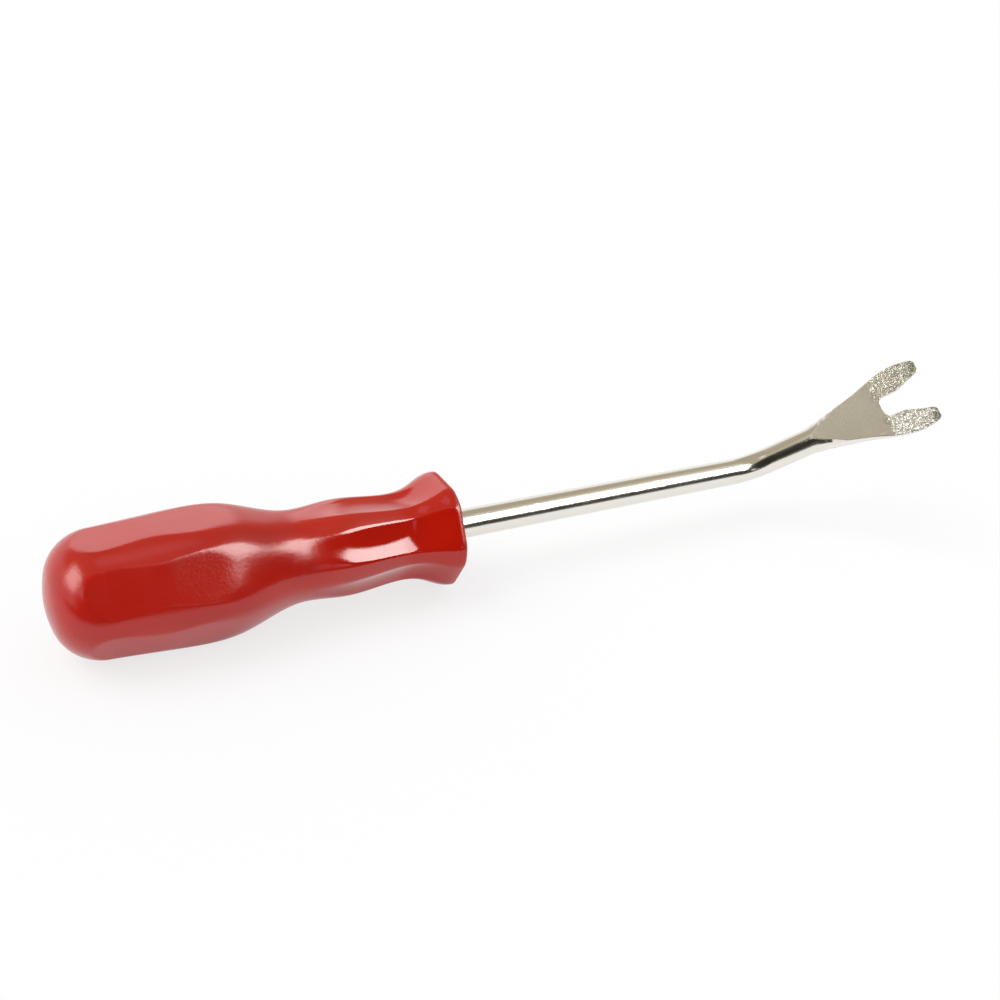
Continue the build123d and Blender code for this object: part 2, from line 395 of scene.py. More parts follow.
def build_handle(s, material):
    """The moulding: its land and socket spun, then pressed in to the six flats."""
    form = HandleForm(s)
    bm = bmesh.new()
    socket_x = tang_x - s.bore_gap - butt_x
    outline = [(0, 0), *form.outline()]
    face_r = outline[-1][1]
    rim = len(outline)
    outline += [(form.length, face_r + (s.bore_r - face_r) * t) for t in steps(0, 1, 6)]
    outline += [(x, s.bore_r) for x in steps(form.length, socket_x, 12)]
    outline.append((socket_x, 0))
    line = [bm.verts.new((butt_x + x, 0, axis_z + r)) for x, r in outline]
    for a, b in zip(line, line[1:]):
        bm.edges.new((a, b))
    bmesh.ops.spin(
        bm, geom=bm.verts[:] + bm.edges[:], cent=(0, 0, axis_z), axis=(1, 0, 0),
        dvec=(0, 0, 0), angle=2 * pi, steps=SPIN_STEPS, use_merge=True,
        use_normal_flip=False, use_duplicate=False,
    )
    bmesh.ops.remove_doubles(bm, verts=bm.verts, dist=1e-7)
    for vert in bm.verts:
        x = vert.co.x - butt_x
        y, z = vert.co.y, vert.co.z - axis_z
        r = hypot(y, z)
        if r < 1e-6 or r < s.bore_r + 1e-6 and x > socket_x - 1e-6:
            continue
        spun = atan2(y, z)
        if x > form.length - 1e-7:
            angle, edge = form.across(x, face_r, spun)
            new_r = s.bore_r + (r - s.bore_r) * (edge - s.bore_r) / (face_r - s.bore_r)
        else:
            angle, new_r = form.across(x, r, spun)
        vert.co.y = new_r * sin(angle)
        vert.co.z = axis_z + new_r * cos(angle)
    bmesh.ops.recalc_face_normals(bm, faces=bm.faces)
    return mesh_object("handle_moulding", bm, material, "handle")


TOP_MIDDLE = 10
TOP_SIDE = 26
FLANK = 10


class ShankForm:
    """The rod's path, and the section of the fork by distance from the corner of the bend."""

    def __init__(self, s):
        self.s = s
        self.vertex = Vector((front_x + s.run, 0, axis_z))
        self.axis = Vector((1, 0, 0))
        self.rise = Vector((0, -cos(s.bend_lean), sin(s.bend_lean)))
        self.width = self.axis.cross(self.rise)
        self.reach = s.bend_r * tan(s.bend / 2)
        self.slot_x = s.fan_start + s.fan_run
        self.tip_x = self.slot_x + s.slot_run
        die_x = s.fan_start + s.die_lead
        self.die_x = die_x
        self.corner_half = s.slot_half - s.slot_corner_r
        claw_x = self.slot_x + s.claw_share * s.slot_run
        claw = s.fork_half + s.claw_bulge
        self.outer_line = smooth_line(
            [
                (die_x, self.fan_half(s.die_lead / s.fan_run)),
                (s.fan_start + 0.55 * s.fan_run, self.fan_half(0.55)),
                (s.fan_start + 0.8 * s.fan_run, self.fan_half(0.8)),
                (self.slot_x, s.fork_half),
                (claw_x, claw),
                (self.tip_x, claw - s.claw_hook),
            ],
            0.05,
            -0.3,
        )
        straight_x = self.slot_x + s.slot_straight
        self.inner_line = smooth_line(
            [
                (straight_x, s.slot_half),
                (self.slot_x + 0.7 * s.slot_run, s.slot_half + s.slot_flare / 2),
                (self.tip_x, s.slot_half + s.slot_flare),
            ],
            0,
            0.45,
        )

    def fan_half(self, share):
        """Half width of the fan's plan at a share of its length."""
        s = self.s
        return s.rod_r + (s.fork_half - s.rod_r) * share**s.fan_power

    def place(self, at, w, z):
        """Point of the rod: at along it from the corner of the bend, w across and z up."""
        s = self.s
        swing = s.bend * min(max((at + self.reach) / (2 * self.reach), 0), 1)
        along = self.axis * cos(swing) + self.rise * sin(swing)
        up = self.rise * cos(swing) - self.axis * sin(swing)
        if at <= -self.reach:
            centre = self.vertex + self.axis * at
        elif at >= self.reach:
            centre = self.vertex + along * at
        else:
            start = self.vertex - self.axis * self.reach + self.rise * s.bend_r
            centre = start - up * s.bend_r
        return centre + self.width * w + up * z

    def half_thickness(self, at):
        """Half thickness of the struck blade, above and below."""
        s = self.s
        struck = s.rod_r - s.die_step
        if at <= self.die_x:
            return s.rod_r, s.rod_r
        if at <= self.die_x + s.die_run:
            half = s.rod_r - s.die_step * (at - self.die_x) / s.die_run
            return half, half
        if at <= self.slot_x:
            t = (at - self.die_x - s.die_run) / (self.slot_x - self.die_x - s.die_run)
            half = struck + (s.blade_half - struck) * t
            return half, half
        t = (at - self.slot_x) / s.slot_run
        return (
            s.blade_half + (s.tip_front - s.blade_half) * t,
            s.blade_half + (s.tip_back - s.blade_half) * t,
        )

    def ring(self, at):
        """Section of the whole rod: across the top, down a flank, back and up the other."""
        s = self.s
        t = min(max((at - s.fan_start) / s.fan_run, 0), 1)
        wide = self.fan_half(t) * (1 + s.bar_spread * t)
        high = s.rod_r + (s.bar_half - s.rod_r) * t
        half = self.half_thickness(at)[0]
        limit = self.outer_line(at) if at > self.die_x else wide
        corner = min(asin(min(half / high, 1)), radians(60))
        reach = min(wide * cos(corner), limit)
        inner = self.corner_half * reach / s.fork_half
        edge = s.edge_r * ease(self.die_x + s.die_run, self.slot_x, at)

        def top_point(w):
            crown = high * sqrt(max(1 - (w / wide) ** 2, 0))
            return w, min(half - edge_fall(reach - abs(w), edge), crown)

        middle = [top_point(inner * w) for w in [-1, *steps(-1, 1, TOP_MIDDLE)]]
        side = [top_point(inner + off) for off in edge_offsets(reach - inner, edge, TOP_SIDE)]
        left = [(-w, z) for w, z in reversed(side)]
        points = left + middle + side
        flank = []
        for turn in steps(corner, -corner, FLANK)[:-1]:
            z = high * sin(turn)
            flank.append((min(wide * cos(turn), limit), z * (1 - edge / max(half, edge))))
        bottom = [(w, -z) for w, z in reversed(points)]
        back = [(-w, z) for w, z in reversed(flank)]
        return points + flank + bottom + back

    def tip_trim(self, at):
        """How far the round of a tip takes in the side of a prong."""
        s = self.s
        left = self.tip_x - at
        if left >= s.tip_r:
            return 0.0
        return s.tip_r - sqrt(max(s.tip_r**2 - (s.tip_r - left) ** 2, 0))

    def inner_edge(self, at):
        """Half width of the slot."""
        s = self.s
        into = at - self.slot_x
        if into < s.slot_corner_r:
            left = s.slot_corner_r - into
            return self.corner_half + sqrt(max(s.slot_corner_r**2 - left**2, 0))
        if into < s.slot_straight:
            return s.slot_half
        return self.inner_line(at) + self.tip_trim(at)

    def prong(self, at):
        """Section of the right prong: across its top, down its outside, back and up."""
        s = self.s
        above, below = self.half_thickness(at)
        outer = self.outer_line(at)
        into = at - self.slot_x
        inner = self.inner_edge(at)
        left = self.tip_x - at
        outer -= self.tip_trim(at)
        edge = s.edge_r
        inner_edge = edge * ease(0, 0.001, into)
        thin = edge_fall(left, edge)
        top = []
        for off in [0, *edge_offsets(outer - inner, edge, TOP_SIDE)]:
            fall = max(edge_fall(off, inner_edge), edge_fall(outer - inner - off, edge))
            top.append((inner + off, fall + thin))
        upper = [(w, above - fall) for w, fall in top]
        lower = [(w, fall - below) for w, fall in reversed(top)]
        down = steps(above - edge - thin, edge + thin - below, FLANK)[:-1]
        high, low = above - inner_edge - thin, inner_edge + thin - below
        outside = [(outer, z) for z in down]
        inside = [(inner, z) for z in steps(low, high, FLANK)[:-1]]
        return upper + outside + lower + inside

    def bowed(self, at, w):
        """How far a point moves along the blade where the bottom of the slot is hollowed."""
        s = self.s
        near = 1 - ease(0, 0.0035, abs(at - self.slot_x))
        across = min(abs(w) / s.slot_half, 1) ** 2
        across *= 1 - ease(s.slot_half, s.fork_half, abs(w))
        return s.slot_bow * near * across


def edge_offsets(width, edge, count):
    """Offsets across a face, up to its width, with three close together at the far edge."""
    if edge <= 0:
        return steps(0, width, count)
    inside = steps(edge, width - edge, count - 4)
    return [0.3 * edge, edge, *inside, width - 0.3 * edge, width]


def edge_fall(off, edge):
    """How far a face drops at a distance from its rounded edge."""
    if off >= edge or edge <= 0:
        return 0.0
    return edge - sqrt(max(edge**2 - (edge - off) ** 2, 0))


def pull(bm, row, points, closed=True):
    """Extrudes a row or ring of vertices and puts the new one on these points, in order."""
    ahead = row[1:] + row[:1] if closed else row[1:]
    edges = [bm.edges.get(pair) for pair in zip(row, ahead)]
    made = bmesh.ops.extrude_edge_only(bm, edges=edges)["geom"]
    old = set(row)
    twin = {}
    for vert in made:
        if isinstance(vert, bmesh.types.BMVert):
            for edge in vert.link_edges:
                if edge.other_vert(vert) in old:
                    twin[edge.other_vert(vert)] = vert
    fresh = [twin[vert] for vert in row]
    for vert, point in zip(fresh, points):
        vert.co = point
    return fresh


def wall(bm, top, bottom):
    """Pulls a wall down from one row of vertices and welds it to another; returns its rows."""
    rows = [top]
    for t in steps(0, 1, FLANK):
        points = [a.co.lerp(b.co, t) for a, b in zip(top, bottom)]
        rows.append(pull(bm, rows[-1], points, closed=False))
    bmesh.ops.weld_verts(bm, targetmap=dict(zip(rows[-1], bottom)))
    rows[-1] = bottom
    return rows


def build_shank(s, material):
    """The rod: one ring pulled along the path, then a prong pulled from each side of it."""
    form = ShankForm(s)
    bm = bmesh.new()

    def lift(at, points):
        return [Vector((at + form.bowed(at, w), w, z)) for w, z in points]

    tang = tang_x - form.vertex.x
    tip_scale = 1 - s.tang_chamfer / s.rod_r
    first = [(w * tip_scale, z * tip_scale) for w, z in form.ring(tang)]
    ring = bmesh.ops.create_circle(bm, cap_ends=True, segments=len(first), radius=1)["verts"]
    for vert, point in zip(ring, lift(tang, first)):
        vert.co = point
    stations = [tang + s.tang_chamfer]
    stations += steps(stations[-1], -form.reach, 24)
    stations += steps(-form.reach, form.reach, 28)
    stations += steps(form.reach, form.die_x, 14)
    stations += steps(form.die_x, form.die_x + s.die_run, 12)
    stations += steps(form.die_x + s.die_run, form.slot_x, 56)
    for at in stations:
        ring = pull(bm, ring, lift(at, form.ring(at)))

    wide = TOP_MIDDLE + 2 * TOP_SIDE + 1
    top = ring[:wide]
    right = ring[wide:wide + FLANK - 1]
    bottom = ring[wide + FLANK - 1:2 * wide + FLANK - 1][::-1]
    left = ring[2 * wide + FLANK - 1:][::-1]
    ends = slice(TOP_SIDE, TOP_SIDE + TOP_MIDDLE + 1)
    rows = wall(bm, top[ends], bottom[ends])
    halves = (
        (1, top[TOP_SIDE + TOP_MIDDLE:], right, bottom[TOP_SIDE + TOP_MIDDLE:], -1),
        (-1, top[:TOP_SIDE + 1][::-1], left, bottom[:TOP_SIDE + 1][::-1], 0),
    )
    for side, above, outside, below, column in halves:
        inside = [row[column] for row in rows[-2:0:-1]]
        prong = above + outside + below[::-1] + inside
        near_tip = form.tip_x - s.edge_r
        for at in (*steps(form.slot_x, near_tip, 84), form.tip_x - 0.3 * s.edge_r, form.tip_x):
            points = [(side * w, z) for w, z in form.prong(at)]
            prong = pull(bm, prong, lift(at, points))
        across = len(above)
        wall(bm, prong[:across], prong[across + FLANK - 1:2 * across + FLANK - 1][::-1])
    bmesh.ops.remove_doubles(bm, verts=bm.verts, dist=2e-6)
    finish_blade(bm, form)
    bmesh.ops.recalc_face_normals(bm, faces=bm.faces)
    if bm.calc_volume(signed=True) < 0:
        bmesh.ops.reverse_faces(bm, faces=bm.faces)
    return mesh_object("forged_shank", bm, material, "shank")


def finish_blade(bm, form):
    """Marks the struck faces and edges, chips and grinds the prongs, then bends the rod."""
    s = form.s
    place = bm.verts.layers.float_vector.new("rod_place")
    struck = bm.verts.layers.float.new("struck")
    edge = bm.verts.layers.float.new("edge")
    shift = Vector((s.seed, 0, 0))
    for vert in bm.verts:
        at, w, z = vert.co
        vert[place] = vert.co
        above, below = form.half_thickness(at)
        depth = min(abs(above - z), abs(z + below))
        on_face = at > form.die_x and depth < 0.5 * s.edge_r
        vert[struck] = float(on_face)
        vert[edge] = float(at > form.die_x + s.die_run and 0.2 * s.edge_r < depth < 1.6 * s.edge_r)
        into = at - form.slot_x
        if into > -0.002 and z > 0:
            rasp = noise.noise(Vector((at / 0.0024, w / 0.0004, 0)) + shift)
            pits = noise.noise(Vector((at, w, 0)) / 0.0006 + shift)
            ground = ease(-0.002, 0.002, into)
            vert.co.z -= s.grind * ground * max(0.5 + 0.8 * rasp + 0.7 * pits, 0)
        if into > 0:
            inner = form.inner_edge(at)
            chip = max(noise.noise(Vector((at / 0.0011, z / 0.004, w / 0.02)) + shift) + 0.1, 0)
            chip += 0.5 * max(noise.noise(Vector((at / 0.0004, z / 0.001, 0)) + shift), 0)
            near = 1 - ease(0, 0.0012, abs(w) - inner)
            stay = ease(0.0006, 0.003, into) * (1 - ease(-0.0022, -0.0006, at - form.tip_x))
            upper = ease(-below, above, z)
            push = s.ragged * chip * near * stay * upper
            vert.co.y += push if w > 0 else -push
    for vert in bm.verts:
        vert.co = form.place(*vert.co)


def add(tree, kind, inputs=(), **settings):
    """A new node with its settings, and its inputs set or linked."""
    node = tree.nodes.new(kind)
    for name, value in settings.items():
        setattr(node, name, value)
    for name, value in dict(inputs).items():
        socket = node.inputs[name]
        if isinstance(value, bpy.types.NodeSocket):
            tree.links.new(value, socket)
        else:
            socket.default_value = value
    return node


def maths(tree, operation, a, b=0.0):
    """Result of a Math node."""
    return add(tree, "ShaderNodeMath", {0: a, 1: b}, operation=operation).outputs[0]


def product(tree, a, b):
    """One value times another."""
    return maths(tree, "MULTIPLY", a, b)


def total(tree, a, b):
    """Sum of two values."""
    return maths(tree, "ADD", a, b)


def ramp(tree, value, low, high, from_value=0.0, to_value=1.0):
    """Smooth step of a value between two limits."""
    inputs = {"Value": value, "From Min": low, "From Max": high, "To Min": from_value}
    inputs["To Max"] = to_value
    node = add(tree, "ShaderNodeMapRange", inputs, interpolation_type="SMOOTHSTEP")
    return node.outputs["Result"]


def tint(tree, share, a, b):
    """Mix of two colours."""
    return add(tree, "ShaderNodeMix", {0: share, 6: a, 7: b}, data_type="RGBA").outputs[2]


def blend(tree, share, a, b):
    """Mix of two numbers."""
    return add(tree, "ShaderNodeMix", {0: share, 2: a, 3: b}, data_type="FLOAT").outputs[0]


def noise_at(tree, place, scale, detail=2.0, rough=0.5):
    """Noise between about 0.2 and 0.8 at a place."""
    inputs = {"Vector": place, "Scale": scale, "Detail": detail, "Roughness": rough}
    return add(tree, "ShaderNodeTexNoise", inputs).outputs["Fac"]


def stretched(tree, place, scale):
    """The place with its axes scaled, so that a pattern on it runs long and thin."""
    return add(tree, "ShaderNodeMapping", {"Vector": place, "Scale": scale}).outputs[0]


def group_tree(name, inputs, outputs):
    """An empty node group, its input node and its output node."""
    tree = bpy.data.node_groups.new(name, "ShaderNodeTree")
    for label, kind, default in inputs:
        socket = tree.interface.new_socket(label, in_out="INPUT", socket_type=kind)
        if default is not None:
            socket.default_value = default
    for label, kind in outputs:
        tree.interface.new_socket(label, in_out="OUTPUT", socket_type=kind)
    given = tree.nodes.new("NodeGroupInput").outputs
    result = tree.nodes.new("NodeGroupOutput").inputs
    return tree, given, result


def grain_group():
    """Fine grain of a moulded or blasted skin: its height, and the specks that stand out."""
    inputs = (
        ("Place", "NodeSocketVector", None),
        ("Grains", "NodeSocketFloat", 1500.0),
        ("Speck level", "NodeSocketFloat", 0.62),
    )
    outputs = (("Height", "NodeSocketFloat"), ("Specks", "NodeSocketFloat"))
    tree, given, result = group_tree("fine_grain", inputs, outputs)
    fine = noise_at(tree, given["Place"], given["Grains"], 3.0, 0.65)
    broad = noise_at(tree, given["Place"], product(tree, given["Grains"], 0.23))
    height = total(tree, fine, product(tree, broad, 0.7))
    above = total(tree, given["Speck level"], 0.07)
    tree.links.new(height, result["Height"])
    tree.links.new(ramp(tree, fine, given["Speck level"], above), result["Specks"])
    return tree


def handling_group():
    """Marks of handling: broad smudges, and thin scratches that run along the tool."""
    inputs = (
        ("Place", "NodeSocketVector", None),
        ("Along", "NodeSocketVector", None),
        ("Smudges", "NodeSocketFloat", 90.0),
        ("Scratches", "NodeSocketFloat", 900.0),
    )
    outputs = (("Smudge", "NodeSocketFloat"), ("Scratch", "NodeSocketFloat"))
    tree, given, result = group_tree("handling_marks", inputs, outputs)
    smudge = ramp(tree, noise_at(tree, given["Place"], given["Smudges"], 4.0, 0.6), 0.38, 0.66)
    lines = noise_at(tree, given["Along"], given["Scratches"], 1.0)
    gate = noise_at(tree, given["Place"], product(tree, given["Smudges"], 2.6))
    scratch = product(tree, ramp(tree, lines, 0.62, 0.7), ramp(tree, gate, 0.45, 0.6))
    tree.links.new(smudge, result["Smudge"])
    tree.links.new(scratch, result["Scratch"])
    return tree


def shared_group(name, build):
    """The node group of this name, built the first time."""
    return bpy.data.node_groups.get(name) or build()


def use_group(tree, grouped, inputs):
    """A group placed in a material, with its inputs set or linked."""
    node = add(tree, "ShaderNodeGroup", node_tree=grouped)
    for name, value in inputs.items():
        if isinstance(value, bpy.types.NodeSocket):
            tree.links.new(value, node.inputs[name])
        else:
            node.inputs[name].default_value = value
    return node.outputs


def new_material(name):
    """An empty node material and its Principled shader."""
    material = bpy.data.materials.new(name)
    material.use_nodes = True
    shader = material.node_tree.nodes["Principled BSDF"]
    return material, material.node_tree, shader


def solid(value):
    """A colour property as a socket takes it."""
    return (*value, 1)


def set_bump(tree, shader, height, depth):
    """Gives a shader the normal of a height, where one is this deep."""
    bump = add(tree, "ShaderNodeBump", {"Height": height, "Distance": depth, "Strength": 1.0})
    tree.links.new(bump.outputs["Normal"], shader.inputs["Normal"])


# Stations along the handle: where its worn waist gets glossier, and where its coat fades out
GLOSS_START, GLOSS_FULL = 0.020, 0.036
COAT_FULL, COAT_END = 0.042, 0.046
# How far the duller rim at the collar starts and ends behind the front face
RIM_START, RIM_FULL = 0.0016, 0.0004


def handle_material(f):
    """Glossy red moulding: faint flow swirls, a grainy body, a worn glossy waist, and dust."""
    material, tree, shader = new_material("gloss_red_moulding")
    place = add(tree, "ShaderNodeTexCoord").outputs["Object"]
    grain = use_group(tree, shared_group("fine_grain", grain_group), {
        "Place": place, "Grains": 1700.0, "Speck level": 0.60,
    })
    marks = use_group(tree, shared_group("handling_marks", handling_group), {
        "Place": place, "Smudges": 75.0,
    })
    flow = ramp(tree, noise_at(tree, stretched(tree, place, (0.35, 1, 1)), 140.0, 3.0), 0.35, 0.7)
    red = tint(tree, flow, solid(f.moulding), solid(f.moulding_deep))
    bloom = ramp(tree, marks["Smudge"], 0.2, 1, 0.02, 0.10)
    dusty = product(tree, grain["Specks"], bloom)
    red = tint(tree, dusty, red, solid(f.dust))
    tree.links.new(red, shader.inputs["Base Color"])

    station = add(tree, "ShaderNodeSeparateXYZ", {0: place}).outputs["X"]
    waist = ramp(tree, station, GLOSS_START, GLOSS_FULL)
    skin = blend(tree, waist, f.moulding_rough + 0.07, f.moulding_rough - 0.05)
    rough = total(tree, skin, product(tree, marks["Smudge"], 0.05))
    rim = ramp(tree, station, front_x - RIM_START, front_x - RIM_FULL)
    rough = total(tree, rough, product(tree, rim, 0.3))
    tree.links.new(rough, shader.inputs["Roughness"])
    shader.inputs["IOR"].default_value = 1.53
    polish = product(tree, waist, ramp(tree, station, COAT_END, COAT_FULL))
    tree.links.new(product(tree, polish, 0.4), shader.inputs["Coat Weight"])
    shader.inputs["Coat Roughness"].default_value = 0.05
    ripple = noise_at(tree, stretched(tree, place, (0.3, 1, 1)), 260.0, 1.0)
    height = product(tree, grain["Height"], blend(tree, waist, 2.6, 0.7))
    height = total(tree, height, product(tree, ripple, 2.0))
    set_bump(tree, shader, height, 0.000012)
    return material


def shank_material(f):
    """Plated steel: a bright drawn rod, a satin fan, and ground prongs with burnt tips."""
    material, tree, shader = new_material("bright_plated_steel")
    s = bpy.context.scene.shank_sizes
    slot_x = s.fan_start + s.fan_run
    tip_x = slot_x + s.slot_run
    place = add(tree, "ShaderNodeAttribute", attribute_name="rod_place").outputs["Vector"]
    struck = add(tree, "ShaderNodeAttribute", attribute_name="struck").outputs["Fac"]
    edge = add(tree, "ShaderNodeAttribute", attribute_name="edge").outputs["Fac"]
    station = add(tree, "ShaderNodeSeparateXYZ", {0: place}).outputs["X"]
    along = stretched(tree, place, (0.05, 1, 1))
    grain = use_group(tree, shared_group("fine_grain", grain_group), {
        "Place": place, "Grains": 3200.0, "Speck level": 0.60,
    })
    marks = use_group(tree, shared_group("handling_marks", handling_group), {
        "Place": place, "Along": along, "Smudges": 110.0, "Scratches": 2600.0,
    })
    wander = product(tree, noise_at(tree, place, 420.0, 3.0), 0.005)
    reach = maths(tree, "SUBTRACT", station, wander)
    ground = ramp(tree, reach, slot_x - 0.0045, slot_x - 0.0005)
    burnt = ramp(tree, reach, tip_x - 0.0052, tip_x - 0.003)
    chips = ramp(tree, noise_at(tree, place, 1500.0, 2.0, 0.7), 0.50, 0.62)

    metal = tint(tree, struck, solid(f.plate), solid(f.struck))
    lit = product(tree, ground, blend(tree, chips, 0.25, 1.0))
    metal = tint(tree, lit, metal, solid(f.ground))
    across = add(tree, "ShaderNodeSeparateXYZ", {0: place}).outputs["Y"]
    # Painted reflection: the lower prong, on one side across the blade, is tinted near white and
    # given fewer streaks
    lower_prong_painted_reflection = product(tree, ground, ramp(tree, across, 0.0022, 0.0042))
    metal = tint(tree, lower_prong_painted_reflection, metal, solid(f.lower_prong_painted_reflection))
    metal = tint(tree, product(tree, burnt, struck), metal, solid(f.burnt))
    worn = product(tree, edge, ramp(tree, grain["Height"], 0.6, 1.0, 0.25, 0.9))
    metal = tint(tree, worn, metal, solid(f.plate))
    brushed = noise_at(tree, stretched(tree, place, (0.5, 1, 1)), 4200.0, 3.0, 0.75)
    streaked = product(tree, struck, blend(tree, lower_prong_painted_reflection, 0.24, 0.04))
    brushed = product(tree, ramp(tree, brushed, 0.40, 0.64), streaked)
    metal = tint(tree, brushed, metal, solid(f.burnt))
    dull = product(tree, marks["Smudge"], 0.10)
    metal = tint(tree, dull, metal, solid(f.struck))
    tree.links.new(metal, shader.inputs["Base Color"])
    shader.inputs["Metallic"].default_value = 1

    rough = blend(tree, struck, f.plate_rough, f.struck_rough)
    rough = blend(tree, ground, rough, f.ground_rough)
    rough = total(tree, rough, product(tree, marks["Smudge"], 0.035))
    rough = total(tree, rough, product(tree, marks["Scratch"], 0.10))
    rough = blend(tree, worn, rough, 0.22)
    tree.links.new(rough, shader.inputs["Roughness"])

    drawn = noise_at(tree, stretched(tree, place, (0.02, 1, 1)), 3400.0, 2.0)
    scored = noise_at(tree, stretched(tree, place, (0.10, 1, 1)), 2200.0, 2.0, 0.6)
    height = product(tree, drawn, 0.06)
    satin = product(tree, grain["Height"], struck)
    height = total(tree, height, product(tree, satin, 2.6))
    rasped = total(tree, product(tree, scored, 12.0), product(tree, chips, 8.0))
    height = total(tree, height, product(tree, rasped, ground))
    height = maths(tree, "SUBTRACT", height, product(tree, marks["Scratch"], 0.5))
    set_bump(tree, shader, height, 0.000010)
    return material


# Station that the cards face
TOOL_MIDDLE = 0.06
# Name, azimuth and elevation, width and height in degrees, distance, glow, and soft rim
CARDS = (
    ("softbox_right", (-49, 41.5), 41, 34, 2.4, (10.0, 9.9, 9.6), 0.25),
    ("softbox_glow", (-34, 50), 76, 50, 2.5, (0.95, 0.92, 0.86), 1.0),
    ("softbox_left", (-178, 32), 35, 35, 0.52, (6.2, 6.0, 5.7), 0.5),
    ("softbox_side", (-152, 25), 26, 24, 0.37, (1.3, 1.3, 1.28), 0.8),
    ("softbox_back", (108, 39), 64, 30, 0.2, (2.0, 2.0, 1.98), 0.35),
    ("softbox_top", (-153, 79), 20, 20, 0.337, (0.9, 0.9, 0.9), 0.5),
    ("flag_front", (-120, 20), 84, 78, 2.6, (0.027, 0.024, 0.016), 0.3),
    ("flag_right", (-50, 28), 62, 70, 2.8, (0.042, 0.036, 0.024), 0.12),
    ("flag_top", (0, 90), 130, 130, 2.7, (0.46, 0.41, 0.31), 0.45),
)
# A dark table past a white sheet: the sheet's edge, how it is turned, and half the table
SHEET_EDGE = (0.0, -0.045, 0.0005)
SHEET_TURN = radians(-12)
SHEET_SIZE = (2.4, 1.2)
# Glow of the table, direction that the lamp shines from, and share of the floor that glows
TABLE_GLOW = (0.06, 0.057, 0.047)
LAMP_FROM = (-0.7, 0.3, 1)
FLOOR_GLOW = 0.75


def seen_directly(tree):
    """One where a surface is seen by the camera, in gloss or through glass."""
    path = add(tree, "ShaderNodeLightPath").outputs
    seen = total(tree, path["Is Camera Ray"], path["Is Glossy Ray"])
    return total(tree, seen, path["Is Transmission Ray"])


def staged_sheet(name, half):
    """A flat square that only dresses the stage, with half its width."""
    bm = bmesh.new()
    bmesh.ops.create_grid(bm, x_segments=1, y_segments=1, size=half)
    mesh = bpy.data.meshes.new(name)
    bm.to_mesh(mesh)
    bm.free()
    sheet = bpy.data.objects.new(name, mesh)
    bpy.context.scene.collection.objects.link(sheet)
    return sheet


def add_card(name, heading, wide, tall, reach, glow, soften):
    """A card that faces the tool and is seen only in gloss: a softbox, or a dark flag.

    Heading is its azimuth and elevation, wide and tall are angles, and glow is its colour.
    """
    azimuth, elevation = heading
    card = staged_sheet(name, 1)
    level = cos(elevation)
    outward = Vector((cos(azimuth) * level, sin(azimuth) * level, sin(elevation)))
    facing = outward.to_track_quat("Z", "Y").to_matrix().to_4x4()
    size = Matrix.Diagonal((reach * tan(wide / 2), reach * tan(tall / 2), 1, 1))
    middle = Vector((TOOL_MIDDLE, 0, 0))
    card.matrix_world = Matrix.Translation(middle + outward * reach) @ facing @ size
    hide_from_all_but_gloss(card)

    material, tree, shader = new_material(name)
    tree.nodes.remove(shader)
    place = add(tree, "ShaderNodeTexCoord").outputs["Object"]
    split = add(tree, "ShaderNodeSeparateXYZ", {0: place}).outputs
    cover = 1.0
    for axis in ("X", "Y"):
        off = maths(tree, "ABSOLUTE", split[axis])
        cover = product(tree, cover, ramp(tree, off, 1.0, 1.0 - soften))
    strength = max(glow)
    light = add(tree, "ShaderNodeEmission", {
        "Color": solid([part / strength for part in glow]), "Strength": strength,
    })
    clear = add(tree, "ShaderNodeBsdfTransparent")
    mix = add(tree, "ShaderNodeMixShader", {0: cover, 1: clear.outputs[0], 2: light.outputs[0]})
    tree.links.new(mix.outputs[0], tree.nodes["Material Output"].inputs["Surface"])
    card.data.materials.append(material)
    return card


def hide_from_all_but_gloss(card):
    """Leaves a card to be seen in reflections alone."""
    card.visible_camera = False
    card.visible_diffuse = False
    card.visible_transmission = False
    card.visible_volume_scatter = False
    card.visible_shadow = False


def build_cards():
    """The softboxes and flags round the tool, and the dark table past the white sheet."""
    for name, heading, wide, tall, reach, glow, soften in CARDS:
        heading = [radians(angle) for angle in heading]
        add_card(name, heading, radians(wide), radians(tall), reach, glow, soften)
    table = add_card("flag_table", (0, pi / 2), pi / 2, pi / 2, 1.0, TABLE_GLOW, 0.01)
    half_wide, half_deep = SHEET_SIZE
    turned = Matrix.Rotation(SHEET_TURN, 4, "Z") @ Matrix.Translation((0, -half_deep, 0))
    size = Matrix.Diagonal((half_wide, half_deep, 1, 1))
    table.matrix_world = Matrix.Translation(SHEET_EDGE) @ turned @ size


def build_world(level):
    """White to the camera and in gloss, and an even level for all other light."""
    world = bpy.data.worlds.new("studio")
    bpy.context.scene.world = world
    world.use_nodes = True
    tree = world.node_tree
    strength = blend(tree, seen_directly(tree), level, 1.0)
    tree.links.new(strength, tree.nodes["Background"].inputs["Strength"])
    tree.nodes["Background"].inputs["Color"].default_value = (1, 1, 1, 1)


def build_floor(s):
    """A plain pale floor that keeps the tool's soft shadow."""
    floor = staged_sheet("floor", s.floor_size / 2)
    material, tree, shader = new_material("pale_floor")
    shader.inputs["Base Color"].default_value = solid(s.floor_tone)
    shader.inputs["Roughness"].default_value = 0.9
    shader.inputs["Specular IOR Level"].default_value = 0
    seen = product(tree, seen_directly(tree), FLOOR_GLOW)
    white = add(tree, "ShaderNodeEmission", {"Color": (1, 1, 1, 1), "Strength": 1.0})
    mix = add(tree, "ShaderNodeMixShader", {0: seen, 1: shader.outputs[0], 2: white.outputs[0]})
    tree.links.new(mix.outputs[0], tree.nodes["Material Output"].inputs["Surface"])
    floor.data.materials.append(material)


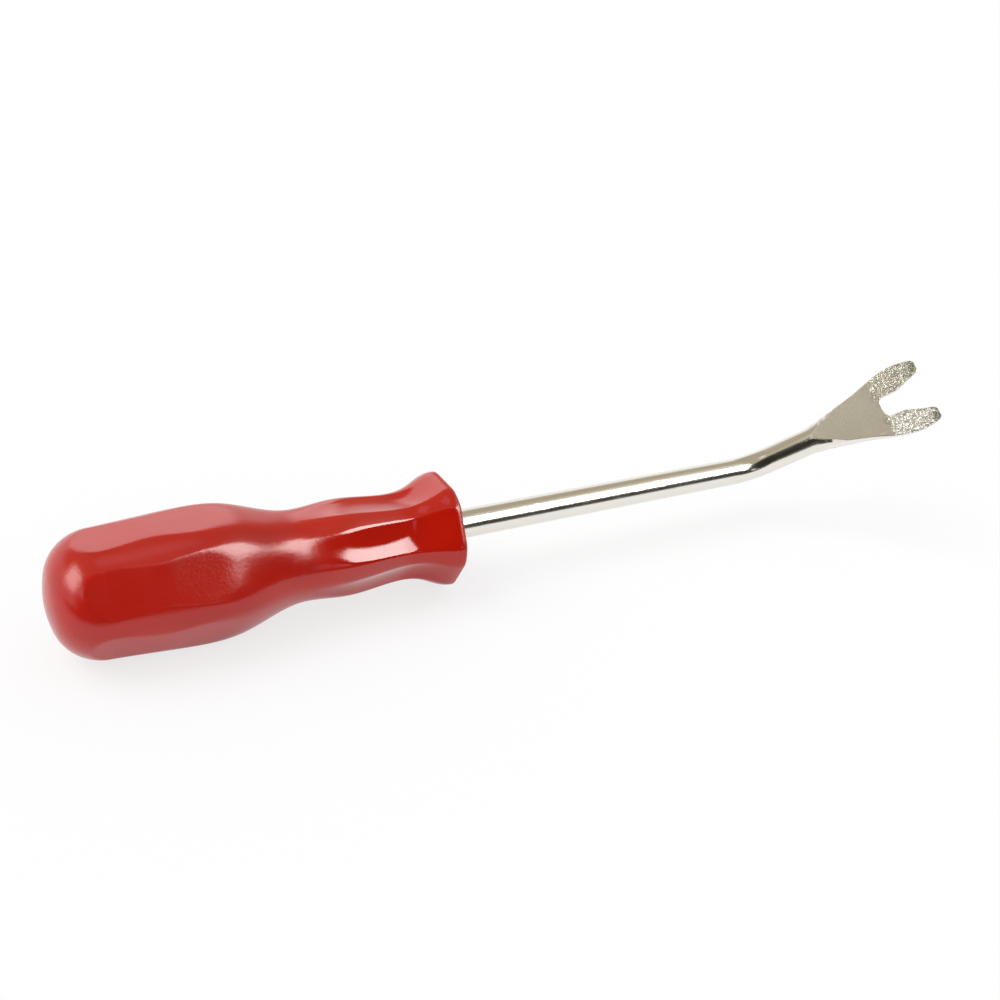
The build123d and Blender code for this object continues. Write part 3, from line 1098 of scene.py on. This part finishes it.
def build_stage(s):
    """Camera, floor, even light from all round, one wide lamp, softboxes and flags."""
    scene = bpy.context.scene
    scene.view_settings.view_transform = "Standard"
    camera = bpy.data.objects.new("camera", bpy.data.cameras.new("camera"))
    scene.collection.objects.link(camera)
    right, up = Vector(s.camera_right).normalized(), Vector(s.camera_up)
    back = right.cross(up).normalized()
    up = back.cross(right)
    turned = Matrix((right, up, back)).transposed().to_4x4()
    camera.matrix_world = Matrix.Translation(s.camera_at) @ turned
    camera.data.sensor_width = 36
    camera.data.lens = s.lens
    camera.data.clip_start = 0.01
    scene.camera = camera

    build_world(s.sky)
    build_floor(s)
    lamp = bpy.data.lights.new("overhead", "SUN")
    lamp.energy = s.lamp_level
    lamp.angle = s.lamp_spread
    overhead = bpy.data.objects.new("overhead", lamp)
    scene.collection.objects.link(overhead)
    overhead.visible_glossy = False
    aim = Vector(LAMP_FROM).to_track_quat("Z", "Y")
    overhead.matrix_world = aim.to_matrix().to_4x4()
    build_cards()


class MESH_OT_removal_handle(bpy.types.Operator):
    """Builds the moulded handle"""

    bl_idname = "mesh.removal_handle"
    bl_label = "Moulded Handle"

    def execute(self, context):
        scene = context.scene
        build_handle(scene.handle_sizes, handle_material(scene.finishes))
        return {"FINISHED"}


class MESH_OT_removal_shank(bpy.types.Operator):
    """Builds the rod with its forged fork"""

    bl_idname = "mesh.removal_shank"
    bl_label = "Forged Shank"

    def execute(self, context):
        scene = context.scene
        build_shank(scene.shank_sizes, shank_material(scene.finishes))
        return {"FINISHED"}


class SCENE_OT_removal_studio(bpy.types.Operator):
    """Builds the pale floor, the lamps and the camera"""

    bl_idname = "scene.removal_studio"
    bl_label = "Pale Studio"

    def execute(self, context):
        build_stage(context.scene.studio_settings)
        return {"FINISHED"}


class VIEW3D_PT_removal_tool(bpy.types.Panel):
    """Lists the tool's pieces"""

    bl_label = "Door Handle Removal Tool"
    bl_space_type = "VIEW_3D"
    bl_region_type = "UI"
    bl_category = "Removal Tool"

    def draw(self, context):
        for operator in OPERATORS:
            self.layout.operator(operator.bl_idname)


GROUPS = {
    "handle_sizes": HandleSizes,
    "shank_sizes": ShankSizes,
    "finishes": Finishes,
    "studio_settings": StudioSettings,
}
OPERATORS = (MESH_OT_removal_handle, MESH_OT_removal_shank, SCENE_OT_removal_studio)


def register():
    for name, group in GROUPS.items():
        bpy.utils.register_class(group)
        setattr(bpy.types.Scene, name, PointerProperty(type=group))
    for kind in (*OPERATORS, VIEW3D_PT_removal_tool):
        bpy.utils.register_class(kind)


def unregister():
    for kind in (VIEW3D_PT_removal_tool, *reversed(OPERATORS)):
        bpy.utils.unregister_class(kind)
    for name, group in reversed(GROUPS.items()):
        delattr(bpy.types.Scene, name)
        bpy.utils.unregister_class(group)


def main():
    register()
    bpy.ops.mesh.removal_handle()
    bpy.ops.mesh.removal_shank()
    bpy.ops.scene.removal_studio()


if __name__ == "__main__":
    main()
